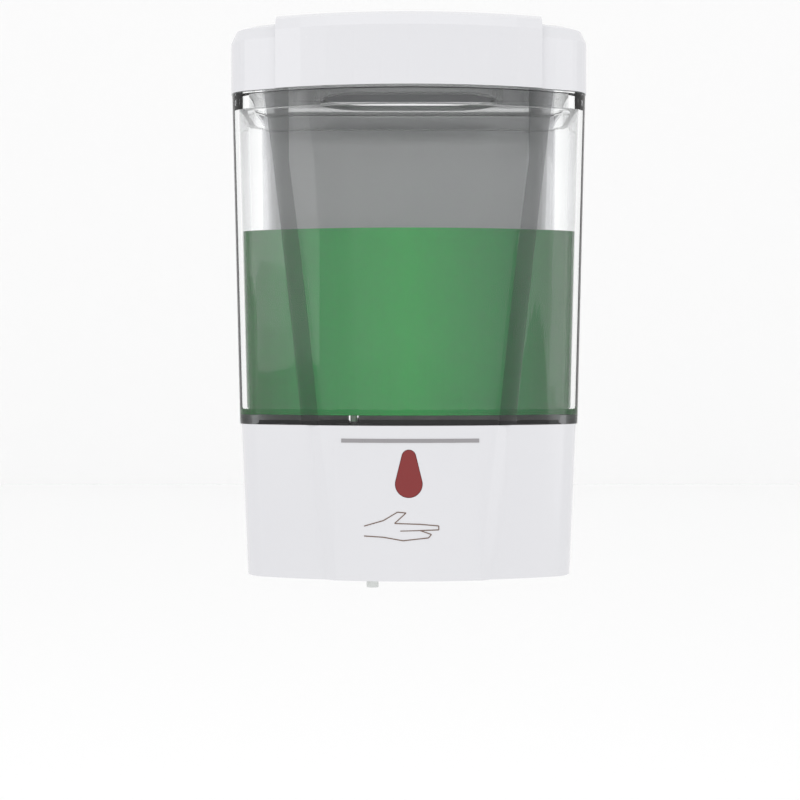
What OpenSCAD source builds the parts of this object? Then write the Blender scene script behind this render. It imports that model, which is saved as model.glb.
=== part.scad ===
// Wall mounted automatic soap dispenser: a clear tank on a white pump base, hung on a wall bracket.
// The wall is the plane y = 0, the front faces -Y, and z = 0 is the centre of the bracket's screw pattern.

/* [Overall] */
// Width across the lid
lid_w = 131; // [122:1:160]
// Distance from the wall to the foremost point of the lid
body_d = 104; // [98:1:130]
// Height of the white pump base
base_h = 55; // [55:1:75]
// Height of the clear tank that shows between base and lid
tank_h = 121; // [95:1:160]
// Height of the lid
lid_h = 27; // [25:1:34]
// Radius of the front's bow in plan
bow_r = 146; // [120:1:220]
// Radius of the upright front corners
corner_r = 10; // [6:0.5:14]

/* [Shells] */
// Wall of the white covers
wall = 2.5; // [2:0.1:3]
// Wall of the clear tank
tank_wall = 2.4; // [1.8:0.1:3]
// Floor of the clear tank
tank_floor = 3.4; // [2.4:0.2:5]
// Depth of the tank from its plain front face to its back
tank_d = 69; // [60:1:72]
// Height of the thick rim round the tank's mouth
rim_h = 5.8; // [4:0.2:8]
// How much narrower each side of the tank is at its foot than at its top
tank_taper = 2.9; // [0:0.1:5]
// How much narrower each side of the base is at its bottom than at its top
base_taper = 2.4; // [0:0.1:4]
// Radius of the base's lower side corners
base_round = 10; // [6:0.5:14]
// Radius of the lid's top edges
lid_round = 6; // [3:0.5:8]
// Height of soap above the tank floor
fill_h = 67; // [10:1:90]

/* [Raised front panel] */
// How far the raised panel stands out
panel_rise = 1.6; // [0.6:0.1:2.4]
// Half width of the panel at the top of the tank
panel_top = 47; // [38:0.5:50]
// Half width of the panel where the tank meets the base
panel_mid = 32; // [24:0.5:36]
// Half width of the panel at the bottom of the base
panel_low = 26; // [20:0.5:30]
// Half width of the raised band over the lid
band_w = 48; // [38:0.5:50]

/* [Wall bracket] */
// Height from the bracket's centre up to the lid's lower edge
mount_drop = 51; // [40:1:60]
// Bracket plate width
bracket_w = 76; // [60:1:84]
// Bracket plate height
bracket_h = 56; // [44:1:64]
// Bracket plate thickness
bracket_t = 3.5; // [2.5:0.1:4]
// Spacing of the wall screws across
screw_dx = 60; // [44:1:64]
// Spacing of the wall screws up and down
screw_dz = 40; // [30:1:46]
// Radius of the wall screw holes
screw_r = 2.25; // [1.75:0.05:2.75]
// Spacing of the two hooks
hook_dx = 40; // [30:1:46]
// Upward reach of each hook's lip above its neck
hook_lip = 6; // [4:0.5:8]

/* [Batteries] */
// Diameter of a cell
cell_d = 14.2; // [13.5:0.1:14.5]
// Length of a cell over its button
cell_l = 50.3; // [49.2:0.1:50.5]
// Centre spacing of the cells
cell_pitch = 15.4; // [15:0.1:16.5]

/* [Drive and pump] */
// Diameter of the motor can
motor_d = 24; // [20:0.5:24]
// Length of the motor can
motor_l = 26; // [20:0.5:30]
// Teeth on the motor pinion
pinion_teeth = 12; // [12:1:14]
// Teeth on the reduction gear
gear_teeth = 36; // [30:1:36]
// Module of the reduction gears
gear_module = 0.8; // [0.7:0.05:0.8]
// Teeth on each pump gear
pump_teeth = 10; // [10:1:11]
// Module of the pump gears
pump_module = 1; // [0.9:0.05:1]
// Width of the pump gears
pump_gear_w = 13; // [11:0.5:14]
// Radius of the outlet nozzle's tip
nozzle_r = 2.2; // [1.8:0.1:3]
// Reach of the nozzle below the base
nozzle_drop = 5; // [2:0.5:12]

/* [Hidden] */

// Clearances: a static fit, a running fit between a shaft and its bore, and a gap between moving faces
fit = 0.1;
run = 0.06;
gap = 0.4;

// Levels
z_bottom = mount_drop - tank_h - base_h;
z_base = mount_drop - tank_h;
z_lid = mount_drop;
z_top = z_lid + lid_h;
z_tank_top = z_lid - gap;
z_floor = z_bottom + wall;
z_deck = z_base - 3;

// Depths
lid_lip = 1;
band_rise = 2.5;
lid_roof = 3;
y_front = -body_d;
y_lid = y_front + 1;
y_face = y_lid + lid_lip;
y_tank_back = y_face + tank_d;
y_housing = y_tank_back + 0.2;
housing_corner = 12;
y_plate = -7;
plate_t = 2.5;
rim_back = 0.8;

// Half widths
lid_hw = lid_w / 2;
tank_hw = lid_hw - 0.4;
tank_foot_hw = tank_hw - tank_taper;
base_hw = tank_foot_hw - 0.8;
base_foot_hw = base_hw - base_taper;
housing_hw = lid_hw - wall - 2;
housing_foot_hw = base_hw - 0.6;

// Lid hinge
hinge_y = -15;
hinge_z = z_top - 12;
hinge_r = 1.5;
eye_r = 4.3;
lid_back = -6.5;
lid_back_drop = 5;
z_housing_top = hinge_z - 11;
arm_w = 4;
arm_x = lid_hw - wall - 16;
tab_x = arm_x + arm_w + gap;

// Battery box and door
tray_wall = 1.5;
tray_gap = 2.2;
tray_hw = 2 * cell_pitch + tray_wall;
tray_back = -13;
tray_front = tray_back - cell_l - 2 * (tray_wall + tray_gap);
tray_top = z_bottom + 20;
cell_z = z_bottom + 3.6 + cell_d / 2;
door_hw = tray_hw - 2;
door_axis_y = tray_back - 1;
door_axis_z = z_bottom + 3.4;
door_front = tray_front + 3;
door_t = 2.2;
door_pin_r = 0.9;
door_eye_r = 2.2;

// Drive train
gear_distance = gear_module * (gear_teeth + pinion_teeth) / 2;
pump_distance = pump_module * pump_teeth;
gear_tip = gear_module * (gear_teeth / 2 + 0.8);
chamber_r = pump_module * (pump_teeth / 2 + 0.8) + 0.35;
pump_z = z_deck - gear_tip - 0.7;
pump_y = y_face + 23;
idler_y = pump_y - pump_distance;
port_y = (pump_y + idler_y) / 2;
motor_y = pump_y + gear_distance;
motor_z = pump_z;
inlet_x = -19.2;
nozzle_x = -13.3;
chamber_x = -24;
pump_back_x = chamber_x + pump_gear_w + 0.4 + 2.6;
cover_t = 2;
plate_x = chamber_x - cover_t;
drive_t = 2;
gear_w = 4;
gear_x = plate_x - drive_t - 1 - gear_w;
shaft_r = 1.5;
motor_shaft_r = 1;
pump_wall = 1.8;
pump_top = pump_z + chamber_r + 2;
pump_low = pump_z - chamber_r - 2;
spigot_r = 4;
port_bore = 1.8;

// Sensor and front details
lens_z_top = z_bottom + 44;
lens_z_low = z_bottom + 34.4;
lens_r_top = 2.5;
lens_r_low = 4.8;
lens_y = y_front + 0.4;
board_y = y_face + wall + 4;
board_x0 = -7;
board_w = 26;
board_z0 = z_bottom + 23;
board_h = 27;
board_t = 1.6;
led_z = [z_bottom + 42.8, z_bottom + 33.6, z_bottom + 38.6];

// Switch under the base
switch_hw = 7;
switch_x = tray_hw + switch_hw + 2.4;
switch_y = -72;
switch_travel = 3;

post_x = 46;
post_front_y = y_face + 19;
post_back_y = -20;
post_r = 3.6;
boss_x = 50;
back_boss_z = [z_housing_top - 14, z_base + 14];
base_boss_z = z_bottom + 30;

// Points of an arc, from angle a0 to a1 in n steps, leaving out steps at either end
function arc(c, r, a0, a1, n, skip_first = 0, skip_last = 0) =
    [for (i = [skip_first:n - skip_last])
        c + r * [cos(a0 + (a1 - a0) * i / n), sin(a0 + (a1 - a0) * i / n)]];

// Plan outline with a bowed front, rounded front corners, straight sides and rounded back corners
function plan(hw, yf, yb, rf, rb) =
    let (cy = yf + bow_r - sqrt(pow(bow_r - rf, 2) - pow(hw - rf, 2)),
         a = atan2(cy - yf - bow_r, hw - rf))
    concat(arc([0, yf + bow_r], bow_r, -180 - a, a, 18),
        arc([hw - rf, cy], rf, a, 0, 6, 1),
        arc([hw - rb, yb - rb], rb, 0, 90, 5),
        arc([rb - hw, yb - rb], rb, 90, 180, 5),
        arc([rf - hw, cy], rf, 180, 180 - a, 6, 0, 1));

// Plan outline of a strip of the bowed front
function strip(hw, yf, depth) =
    let (a = asin(hw / bow_r))
    concat(arc([0, yf + bow_r], bow_r, -90 - a, -90 + a, 10),
        [[hw, yf + bow_r * (1 - cos(a)) + depth], [-hw, yf + bow_r * (1 - cos(a)) + depth]]);

module slab(z, hw, yf, yb, rf, rb, t = 0.1) {
    translate([0, 0, z]) linear_extrude(t) polygon(plan(hw, yf, yb, rf, rb));
}

// Plan with a flat front and rounded front corners
module flat_slab(z, hw, yf, yb, rf, t = 0.1) {
    translate([0, 0, z]) linear_extrude(t) polygon(concat([[-hw, yb]],
        arc([rf - hw, yf + rf], rf, 180, 270, 8), arc([hw - rf, yf + rf], rf, 270, 360, 8), [[hw, yb]]));
}

module strip_slab(z, hw, yf, depth, t = 0.1) {
    translate([0, 0, z]) linear_extrude(t) polygon(strip(hw, yf, depth));
}

// Straight sided loft between two levels, each with its own half width
module loft(z0, z1, hw0, hw1, yf, yb, rf, rb) {
    hull() {
        slab(z0, hw0, yf, yb, rf, rb);
        slab(z1 - 0.1, hw1, yf, yb, rf, rb);
    }
}

// Tapered raised panel on the bowed front
module panel(z0, z1, hw0, hw1, yf, depth = 6) {
    hull() {
        strip_slab(z0, hw0, yf, depth);
        strip_slab(z1 - 0.1, hw1, yf, depth);
    }
}

// The base's outer form, or its inner form when it is inset
module base_form(inset, z0, z1) {
    r = base_round - inset;
    hull() {
        for (i = [0:5])
            slab(z0 + r * (1 - cos(90 * i / 5)),
                base_foot_hw - inset - r * (1 - sin(90 * i / 5)),
                y_face + inset, y_plate, corner_r - inset, 1);
        slab(z1 - 0.1, base_hw - inset, y_face + inset, y_plate, corner_r - inset, 1);
    }
}

// The lid's outer form
module lid_form() {
    hull() {
        slab(z_lid, lid_hw, y_lid, lid_back, corner_r, 3);
        for (i = [0:2])
            slab(z_top - band_rise - lid_round * (1 - sin(45 * i)) - 0.1,
                lid_hw - lid_round * (1 - cos(45 * i)),
                y_lid + lid_round * (1 - cos(45 * i)),
                lid_back - lid_round * (1 - cos(45 * i)),
                corner_r, 3);
    }
}

// Cylinder along X from x0 to x1
module rod_x(r, x0, x1, y, z, n = 48) {
    translate([x0, y, z]) rotate([0, 90, 0]) cylinder(r = r, h = x1 - x0, $fn = n);
}

// Cylinder along Y from y0 to y1
module rod_y(r, x, y0, y1, z, n = 48) {
    translate([x, y0, z]) rotate([-90, 0, 0]) cylinder(r = r, h = y1 - y0, $fn = n);
}

module box(x0, x1, y0, y1, z0, z1) {
    translate([x0, y0, z0]) cube([x1 - x0, y1 - y0, z1 - z0]);
}

// Pan head screw standing on the origin, its shank pointing down -Z, with a cross recess
module screw(head_r, head_h, shank_r, shank_l) {
    difference() {
        union() {
            cylinder(r = head_r, h = head_h, $fn = 32);
            translate([0, 0, -shank_l]) cylinder(r = shank_r, h = shank_l, $fn = 24);
        }
        for (turn = [0, 90])
            rotate([0, 0, turn]) translate([-head_r * 0.6, -0.3, head_h - 0.7]) cube([head_r * 1.2, 0.6, 1]);
    }
}

// Straight flanked gear with its axis along X; tooth_at turns one tooth to that angle
module spur_gear(teeth, m, w, bore_r, x0, y, z, tooth_at, addendum = 0.8, tip = 0.1, foot = 0.27) {
    pitch = 360 / teeth;
    r_tip = m * (teeth / 2 + addendum);
    r_root = m * (teeth / 2 - addendum - 0.3);
    points = [for (i = [0:teeth - 1]) for (k = [[r_root, -foot], [r_tip, -tip], [r_tip, tip], [r_root, foot]])
        k[0] * [cos(tooth_at + (i + k[1]) * pitch), sin(tooth_at + (i + k[1]) * pitch)]];
    translate([x0, y, z]) rotate([0, 90, 0]) difference() {
        linear_extrude(w) polygon(points);
        translate([0, 0, -1]) cylinder(r = bore_r, h = w + 2, $fn = 48);
    }
}

// Round tube swept along a route of points, as one closed polyhedron
function route_dir(p, i) =
    let (a = p[max(i - 1, 0)], b = p[min(i + 1, len(p) - 1)]) (b - a) / norm(b - a);

module sweep(route, r, sides = 8) {
    n = len(route);
    ref = [0.31, 0.17, 0.93];
    points = [for (i = [0:n - 1])
        let (d = route_dir(route, i), u = cross(d, ref) / norm(cross(d, ref)), v = cross(d, u))
        for (k = [0:sides - 1]) route[i] + r * (cos(360 * k / sides) * u + sin(360 * k / sides) * v)];
    faces = concat(
        [[for (k = [0:sides - 1]) k]],
        [for (i = [0:n - 2]) for (k = [0:sides - 1])
            [i * sides + k, (i + 1) * sides + k, (i + 1) * sides + (k + 1) % sides]],
        [for (i = [0:n - 2]) for (k = [0:sides - 1])
            [i * sides + k, (i + 1) * sides + (k + 1) % sides, i * sides + (k + 1) % sides]],
        [[for (k = [0:sides - 1]) n * sides - 1 - k]]);
    polyhedron(points = points, faces = faces, convexity = 6);
}

// Outline of the drop shaped sensor window, seen from the front
module drop(grow) {
    hull() {
        translate([0, lens_z_top]) circle(r = lens_r_top + grow, $fn = 32);
        translate([0, lens_z_low]) circle(r = lens_r_low + grow, $fn = 32);
    }
}

module drop_prism(grow, y0, y1) {
    translate([0, y1, 0]) rotate([90, 0, 0]) linear_extrude(y1 - y0) drop(grow);
}

// Outline of the back plate, seen from behind
function back_outline(inset) =
    let (r = base_round - inset, hw = base_foot_hw - inset, z0 = z_bottom + inset)
    concat(arc([hw - r, z0 + r], r, -90, 0, 6),
        [[base_hw - inset, z_base], [housing_hw - inset, z_housing_top - inset],
         [inset - housing_hw, z_housing_top - inset], [inset - base_hw, z_base]],
        arc([r - hw, z0 + r], r, 180, 270, 6));

module back_prism(inset, y0, y1) {
    translate([0, y1, 0]) rotate([90, 0, 0]) linear_extrude(y1 - y0) polygon(back_outline(inset));
}

// ---- Hanging on the wall ----

module wall_bracket() {
    color("whitesmoke") {
        difference() {
            box(-bracket_w / 2, bracket_w / 2, -bracket_t, 0, -bracket_h / 2, bracket_h / 2);
            for (x = [-1, 1], z = [-1, 1]) {
                rod_y(screw_r, x * screw_dx / 2, -bracket_t - 1, 1, z * screw_dz / 2);
                rod_y(screw_r * 2, x * screw_dx / 2, -bracket_t - 1, -bracket_t + 1, z * screw_dz / 2);
            }
        }
        for (x = [-1, 1]) {
            box(x * hook_dx / 2 - 5, x * hook_dx / 2 + 5, y_plate - 2.5, -bracket_t, -2, 2);
            box(x * hook_dx / 2 - 5, x * hook_dx / 2 + 5, y_plate - 2.5, y_plate - 0.4, -2, 2 + hook_lip);
        }
    }
}

module back_plate() {
    color("white") difference() {
        union() {
            back_prism(0, y_plate, y_plate + plate_t);
            difference() {
                back_prism(0, y_plate, -rim_back);
                back_prism(2, y_plate + plate_t, 1);
            }
        }
        for (x = [-1, 1])
            box(x * hook_dx / 2 - 6, x * hook_dx / 2 + 6, y_plate - 1, y_plate + plate_t + 1,
                -6 - hook_lip, 2 + fit);
        for (x = [-1, 1], z = back_boss_z)
            rod_y(1.6, x * boss_x, y_plate - 1, y_plate + plate_t + 1, z);
        for (x = [-1, 1])
            rod_y(1.6, x * post_x, y_plate - 1, y_plate + plate_t + 1, base_boss_z);
    }
}

// ---- White shells ----

module rear_housing() {
    color("white") difference() {
        union() {
            difference() {
                housing_form(0, y_plate);
                housing_form(wall, y_plate + 3);
            }
            for (x = [-1, 1], z = back_boss_z)
                rod_y(post_r, x * boss_x, y_housing + 1, y_plate, z);
            for (side = [-1, 1]) hinge_arm(side);
        }
        for (x = [-1, 1], z = back_boss_z)
            rod_y(1.2, x * boss_x, y_plate - 12, y_plate + 1, z);
        rod_x(hinge_r + 0.02, -lid_w / 2, lid_w / 2, hinge_y, hinge_z);
    }
}

// The rear housing's outer form, or its inner form when it is inset
module housing_form(inset, yb) {
    hull() {
        flat_slab(z_base + inset, housing_foot_hw - inset, y_housing + inset, yb, housing_corner - inset);
        flat_slab(z_housing_top - inset - 0.1, housing_hw - inset, y_housing + inset, yb,
            housing_corner - inset);
    }
}

// Arm that carries one lid hinge pin, standing on the housing's top and reaching back over it
module hinge_arm(side) {
    x0 = side > 0 ? arm_x : -arm_x - arm_w;
    translate([x0, 0, 0]) rotate([90, 0, 90]) linear_extrude(arm_w) union() {
        translate([hinge_y, hinge_z]) circle(r = eye_r, $fn = 48);
        translate([hinge_y - 14, hinge_z - eye_r]) square([14, 2 * eye_r]);
        translate([hinge_y - 14, z_housing_top - 1]) square([6, hinge_z - z_housing_top]);
    }
}

module base_shell() {
    color("white") difference() {
        union() {
            difference() {
                union() {
                    base_form(0, z_bottom, z_base);
                    panel(z_bottom, z_base, panel_low, panel_mid, y_face - panel_rise);
                }
                intersection() {
                    base_form(wall, z_floor, z_base + 1);
                    box(-lid_w, lid_w, -body_d, y_plate + 1, z_floor, z_base + 1);
                }
                box(-base_foot_hw + base_round, base_foot_hw - base_round, y_plate - 0.5, y_plate + 1,
                    z_floor, z_base + 1);
            }
            for (x = [-1, 1]) {
                translate([x * post_x, post_front_y, z_floor - 0.5])
                    cylinder(r = post_r, h = z_deck - z_floor + 0.5, $fn = 48);
                translate([x * post_x, post_back_y, z_floor - 0.5])
                    cylinder(r = post_r, h = z_deck - z_floor + 0.5, $fn = 48);
                rod_y(post_r, x * post_x, post_back_y, y_plate, base_boss_z);
            }
            for (z = [board_z0 + 3, board_z0 + board_h - 3])
                rod_y(2, board_x0 + board_w - 3, y_face + 1, board_y, z);
            for (x = [-1, 1])
                box(x * (door_hw - 6) - 1.5, x * (door_hw - 6) + 1.5, door_axis_y - 1.8, door_axis_y + 5.5,
                    door_axis_z - 1.8, door_axis_z + 1.8);
        }
        for (x = [-1, 1]) {
            translate([x * post_x, post_front_y, z_deck - 12]) cylinder(r = 1.2, h = 13, $fn = 32);
            translate([x * post_x, post_back_y, z_deck - 12]) cylinder(r = 1.2, h = 13, $fn = 32);
            rod_y(1.2, x * post_x, y_plate - 12, y_plate + 1, base_boss_z);
        }
        for (z = [board_z0 + 3, board_z0 + board_h - 3])
            rod_y(0.8, board_x0 + board_w - 3, y_face + wall - 1, board_y + 1, z);
        drop_prism(fit, y_front - 1, y_face + wall + 1);
        door_opening();
        translate([nozzle_x, port_y, z_bottom - 1]) cylinder(r = 4.1, h = wall + 2, $fn = 48);
        box(switch_x - 3.5 - switch_travel / 2, switch_x + 3.5 + switch_travel / 2,
            switch_y - 2.5, switch_y + 2.5, z_bottom - 1, z_floor + 1);
        rod_x(door_pin_r + 0.02, -door_hw, door_hw, door_axis_y, door_axis_z);
    }
}

module door_opening() {
    difference() {
        box(-door_hw, door_hw, door_front, door_axis_y + 4, z_bottom - 1, z_floor + 1);
        for (x = [-1, 1])
            box(x * (door_hw - 6) - 1.5, x * (door_hw - 6) + 1.5, door_axis_y - 1.8, door_axis_y + 5,
                door_axis_z - 1.8, z_floor + 2);
    }
}

module deck_plate() {
    color("white") difference() {
        slab(z_deck, base_hw - wall - 0.6, y_face + wall + 0.3, y_plate - 0.2, corner_r - wall, 1,
            z_base - z_deck);
        translate([inlet_x, port_y, z_deck - 1]) cylinder(r = 6.6, h = z_base - z_deck + 2, $fn = 48);
        for (x = [-1, 1], y = [post_front_y, post_back_y]) {
            translate([x * post_x, y, z_deck - 1]) cylinder(r = 1.6, h = z_base - z_deck + 2, $fn = 32);
            translate([x * post_x, y, z_base - 1.9]) cylinder(r = 3, h = 3, $fn = 32);
        }
    }
}

// ---- Tank ----

module tank_body() {
    color([0.9, 0.95, 0.95, 0.35]) difference() {
        union() {
            loft(z_base, z_tank_top, tank_foot_hw, tank_hw, y_face, y_tank_back, corner_r, 16);
            panel(z_base, z_tank_top, panel_mid, panel_top, y_face - panel_rise);
            translate([inlet_x, port_y, z_base - 8]) cylinder(r = spigot_r, h = 9, $fn = 48);
        }
        loft(z_base + tank_floor, z_tank_top - rim_h, tank_foot_hw - tank_wall, tank_hw - tank_wall,
            y_face + tank_wall, y_tank_back - tank_wall, corner_r - tank_wall, 16 - tank_wall);
        slab(z_tank_top - rim_h - 1, tank_hw - tank_wall - 3, y_face + tank_wall + 3,
            y_tank_back - tank_wall - 3, corner_r - tank_wall, 12, rim_h + 2);
        translate([inlet_x, port_y, z_base - 9]) cylinder(r = port_bore, h = tank_floor + 10, $fn = 48);
    }
}

// Filler mouth outline in the tank's deck
module filler(grow) {
    hull() for (x = [-16, 16]) translate([x, y_face + 36]) circle(r = 17 + grow, $fn = 48);
}

module tank_deck() {
    color([0.92, 0.95, 0.95, 0.5]) difference() {
        union() {
            slab(z_tank_top, tank_hw - tank_wall - 0.6, y_face + 2.8, y_tank_back - 2.8, corner_r - 2.4, 13, 2.4);
            translate([0, 0, z_tank_top]) linear_extrude(10) filler(2.2);
        }
        translate([0, 0, z_tank_top - 1]) linear_extrude(12) filler(0);
    }
}

module soap_fill() {
    s = tank_wall + fit;
    top_hw = tank_foot_hw + tank_taper * (tank_floor + fill_h) / tank_h;
    color([0.05, 0.6, 0.25]) difference() {
        loft(z_base + tank_floor + fit, z_base + tank_floor + fill_h, tank_foot_hw - s, top_hw - s,
            y_face + s, y_tank_back - s, corner_r - s, 16 - s);
        translate([inlet_x, port_y, z_base]) cylinder(r = 5.9, h = 17, $fn = 48);
    }
}

module inlet_filter() {
    color("palegreen") translate([inlet_x, port_y, z_base + tank_floor]) difference() {
        union() {
            cylinder(r = 5.6, h = 12.4, $fn = 48);
            translate([0, 0, -2.4]) cylinder(r = port_bore - 0.05, h = 3, $fn = 32);
        }
        translate([0, 0, -3]) cylinder(r = 1, h = 14, $fn = 32);
        translate([0, 0, 1.6]) cylinder(r = 4.4, h = 9.2, $fn = 48);
        for (turn = [0:45:315])
            rotate([0, 0, turn]) translate([3, -0.8, 2.4]) cube([4, 1.6, 7.6]);
    }
}

module tank_grommet() {
    color("dimgray") translate([inlet_x, port_y, 0]) rotate_extrude($fn = 48)
        polygon([[spigot_r, z_deck - 1.4], [8, z_deck - 1.4], [8, z_deck], [6.6, z_deck],
            [6.6, z_base], [spigot_r, z_base]]);
}

// ---- Lid ----

module lid() {
    color("white") difference() {
        union() {
            difference() {
                union() {
                    lid_form();
                    lid_band();
                }
                slab(z_lid - 1, lid_hw - wall, y_lid + wall, lid_back - wall, corner_r - wall, 2,
                    lid_h - band_rise - lid_roof + 1);
                box(-lid_w, lid_w, lid_back - wall - 1, 1, z_lid - 1, hinge_z - lid_back_drop);
            }
            for (x = [-tab_x - arm_w, tab_x])
                translate([x, 0, 0]) rotate([90, 0, 90]) linear_extrude(arm_w) union() {
                    translate([hinge_y, hinge_z]) circle(r = eye_r, $fn = 48);
                    translate([hinge_y - eye_r, hinge_z]) square([2 * eye_r, z_top - band_rise - lid_roof - hinge_z + 0.5]);
                }
        }
        rod_x(hinge_r + run, -lid_w / 2 + wall + 1, lid_w / 2 - wall - 1, hinge_y, hinge_z);
    }
}

// Raised band over the lid's front and top
module lid_band() {
    hull() {
        strip_slab(z_lid, band_w, y_front, 20);
        strip_slab(z_top - 6, band_w, y_front, 20);
        strip_slab(z_top - 2, band_w, y_front + 2, 20);
        strip_slab(z_top - 0.1, band_w, y_front + 6, 50);
        strip_slab(z_top - 3, band_w, y_front + 6, 66);
    }
}

module lid_pins() {
    color("silver") for (side = [-1, 1])
        rod_x(hinge_r, side > 0 ? arm_x - 1 : -tab_x - arm_w, side > 0 ? tab_x + arm_w : 1 - arm_x,
            hinge_y, hinge_z);
}

// ---- Sensor ----

module sensor_lens() {
    color("firebrick") {
        drop_prism(0, lens_y, y_face + wall + 0.4);
        drop_prism(1.6, y_face + wall + 0.3, y_face + wall + 1.3);
    }
}

module sensor_board() {
    color("darkgreen") difference() {
        box(board_x0, board_x0 + board_w, board_y, board_y + board_t, board_z0, board_z0 + board_h);
        for (z = [board_z0 + 3, board_z0 + board_h - 3])
            rod_y(1.1, board_x0 + board_w - 3, board_y - 1, board_y + board_t + 1, z);
    }
}

module sensor_diode(r, l, z) {
    translate([0, board_y, z]) rotate([90, 0, 0]) {
        cylinder(r = r + 0.3, h = 0.6, $fn = 32);
        cylinder(r = r, h = l, $fn = 32);
    }
}

module ir_emitter() {
    color("lightblue") sensor_diode(1.5, 2.6, led_z[0]);
}

module ir_receiver() {
    color("black") sensor_diode(1.5, 2.6, led_z[1]);
}

module status_led() {
    color("red") sensor_diode(1, 1.8, led_z[2]);
}

// ---- Batteries ----

module battery_tray() {
    color("gainsboro") difference() {
        box(-tray_hw, tray_hw, tray_front, tray_back, z_floor, tray_top);
        box(-tray_hw + tray_wall, tray_hw - tray_wall, tray_front + tray_wall, tray_back - tray_wall,
            z_floor - 1, tray_top - tray_wall);
        box(-door_hw, door_hw, door_axis_y - 1.4, tray_back + 1, z_floor - 1, door_axis_z + 1.4);
        for (x = [-1, 1])
            box(x * (door_hw - 6) - 2.1, x * (door_hw - 6) + 2.1, door_axis_y - 2.4, tray_back + 1,
                z_floor - 1, door_axis_z + 2.4);
        for (x = [-1, 1])
            box(x * 12 - 5.4, x * 12 + 5.4, door_axis_y - 4, tray_back + 1, z_floor - 1, door_axis_z + 3.6);
    }
}

// Cell lying along Y, its button towards the front when way is 1 and towards the back when it is -1
module cell(column, way) {
    x = (column - 2.5) * cell_pitch;
    y = (tray_front + tray_back) / 2;
    color("goldenrod") translate([x, y, cell_z]) rotate([way > 0 ? 90 : -90, 0, 0]) {
        translate([0, 0, -cell_l / 2]) cylinder(r = cell_d / 2, h = cell_l - 1.3, $fn = 48);
        translate([0, 0, cell_l / 2 - 1.4]) cylinder(r = 2.7, h = 1.4, $fn = 32);
    }
}

module battery_cell_1() { cell(1, 1); }
module battery_cell_2() { cell(2, -1); }
module battery_cell_3() { cell(3, 1); }
module battery_cell_4() { cell(4, -1); }

module contact_plates() {
    color("silver") for (column = [1:4], end = [-1, 1]) {
        x = (column - 2.5) * cell_pitch;
        y = end > 0 ? tray_back - tray_wall - 0.5 : tray_front + tray_wall;
        box(x - 5, x + 5, y, y + 0.5, cell_z - 4, cell_z + 5);
        way = column % 2 == 1 ? 1 : -1;
        if (way == -end)
            rod_y(2, x, end > 0 ? y - 1.6 : y + 0.4, end > 0 ? y + 0.1 : y + 2.1, cell_z, 32);
    }
}

// Conical coil spring along Y between a cell's flat end and its contact plate
module contact_springs() {
    turns = 2.5;
    steps = 30;
    wire_r = 0.25;
    color("silver") for (column = [1:4]) {
        way = column % 2 == 1 ? 1 : -1;
        x = (column - 2.5) * cell_pitch;
        y_wall = way > 0 ? tray_back - tray_wall - 0.5 - wire_r : tray_front + tray_wall + 0.5 + wire_r;
        reach = tray_gap - 0.5 - 2 * wire_r - 0.05;
        sweep([for (i = [0:steps])
            [x + (4 - 1.8 * i / steps) * cos(360 * turns * i / steps),
             y_wall - way * reach * i / steps,
             cell_z + (4 - 1.8 * i / steps) * sin(360 * turns * i / steps)]], wire_r, 6);
    }
}

module battery_door() {
    color("white") {
        difference() {
            box(-door_hw + gap, door_hw - gap, door_front + gap, door_axis_y - 2.6, z_bottom, z_bottom + door_t);
            for (y = [0:3])
                box(-8, 8, door_front + 6 + 2 * y, door_front + 7 + 2 * y, z_bottom - 1, z_bottom + 0.5);
        }
        for (x = [-12, 12]) difference() {
            union() {
                rod_x(door_eye_r, x - 4.5, x + 4.5, door_axis_y, door_axis_z);
                box(x - 4.5, x + 4.5, door_axis_y - 3.4, door_axis_y, z_bottom + 1.2, z_bottom + 3.6);
                box(x - 4.5, x + 4.5, door_axis_y - 3.4, door_axis_y - 2, z_bottom + 0.1, z_bottom + 3);
            }
            rod_x(door_pin_r + run, x - 6, x + 6, door_axis_y, door_axis_z);
        }
    }
}

module door_pin() {
    color("silver") rod_x(door_pin_r, -door_hw + 4, door_hw - 4, door_axis_y, door_axis_z);
}

// ---- Power switch ----

module switch_body() {
    color("dimgray") difference() {
        box(switch_x - switch_hw, switch_x + switch_hw, switch_y - 4, switch_y + 4, z_floor, z_floor + 6);
        box(switch_x - 3.5 - switch_travel / 2, switch_x + 3.5 + switch_travel / 2,
            switch_y - 2.2, switch_y + 2.2, z_floor - 1, z_floor + 3.4);
    }
}

module switch_knob() {
    color("black") {
        box(switch_x - 2 - switch_travel / 2, switch_x + 2 - switch_travel / 2,
            switch_y - 1.9, switch_y + 1.9, z_bottom - 1.4, z_floor + 3);
    }
}

// ---- Drive and pump ----

module drive_plate() {
    color("lightgray") difference() {
        union() {
            box(plate_x - drive_t, plate_x, idler_y - chamber_r - 0.8, motor_y + motor_d / 2 + 1,
                tray_top, z_deck - 1.8);
            box(plate_x - drive_t, -6, tray_front + 2, motor_y + 6, tray_top, tray_top + 2);
        }
        rod_x(shaft_r + 0.6, plate_x - drive_t - 1, plate_x + 1, pump_y, pump_z);
        rod_x(3.2, plate_x - drive_t - 1, plate_x + 1, motor_y, motor_z);
        for (z = [-1, 1])
            rod_x(1.3, plate_x - drive_t - 1, plate_x + 1, motor_y, motor_z + z * 8, 32);
        pump_screw_holes(1.1, plate_x - drive_t - 1, plate_x + 1);
        pump_screw_holes(2.3, plate_x - drive_t - 1, plate_x - drive_t + 1);
        for (y = [-1, 1])
            translate([-16, (tray_front + motor_y + 8) / 2 + y * 7, tray_top - 1])
                cylinder(r = 1.4, h = 4, $fn = 32);
    }
}

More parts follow.
